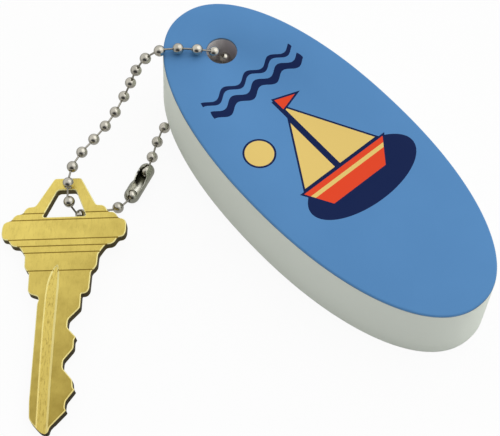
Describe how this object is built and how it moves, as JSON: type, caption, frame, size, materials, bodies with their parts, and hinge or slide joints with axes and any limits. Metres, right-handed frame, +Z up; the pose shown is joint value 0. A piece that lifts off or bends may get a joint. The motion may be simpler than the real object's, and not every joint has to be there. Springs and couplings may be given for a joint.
{
  "type": "floating keychain",
  "caption": "Oval foam float with a printed face, a ball chain through its hole closed by a folded coupling, and a brass door key on the chain.",
  "frame": {"origin": "middle of the whole object's outline as it lies, on the surface it lies on", "axes": "+Z up, +X along the float from its hole to its plain end, -Y towards the key"},
  "size_m": [0.0894, 0.0968, 0.0216],
  "materials": {
    "foam": "matte",
    "printed_face": "satin",
    "chain_nickel": "polished",
    "coupling_nickel": "gloss",
    "key_brass": "satin"
  },
  "bodies": {
    "float": {"foam_body": "foam", "face_sheet": "printed_face"},
    "chain": {"bead_01": "chain_nickel", "bead_02": "chain_nickel", "bead_03": "chain_nickel", "bead_04": "chain_nickel", "bead_05": "chain_nickel", "bead_06": "chain_nickel", "bead_07": "chain_nickel", "bead_08": "chain_nickel", "bead_09": "chain_nickel", "bead_10": "chain_nickel", "bead_11": "chain_nickel", "bead_12": "chain_nickel", "bead_13": "chain_nickel", "bead_14": "chain_nickel", "bead_15": "chain_nickel", "bead_16": "chain_nickel", "bead_17": "chain_nickel", "bead_18": "chain_nickel", "bead_19": "chain_nickel", "bead_20": "chain_nickel", "bead_21": "chain_nickel", "bead_22": "chain_nickel", "bead_23": "chain_nickel", "bead_24": "chain_nickel", "bead_25": "chain_nickel", "bead_26": "chain_nickel", "bead_27": "chain_nickel", "bead_28": "chain_nickel", "bead_29": "chain_nickel", "bead_30": "chain_nickel"},
    "key": {"door_key": "key_brass"},
    "coupling": {"coupling": "coupling_nickel"}
  },
  "joints": [
    {"name": "chain_swing", "type": "hinge", "parent": "float", "child": "chain", "pos_m": [-0.03226, 0.02918, 0.00255], "axis": [0.0333, 0, 0.9994], "range_deg": [-130, 15]},
    {"name": "key_swing", "type": "hinge", "parent": "chain", "child": "key", "pos_m": [-0.03335, -0.01136, 0.00215], "axis": [-0.6729, -0.7285, -0.1287], "range_deg": [0, 90]},
    {"name": "coupling_swivel", "type": "hinge", "parent": "chain", "child": "coupling", "pos_m": [-0.02644, 0.00193, 0.00165], "axis": [-0.3971, 0.9178, 0], "continuous": true}
  ]
}
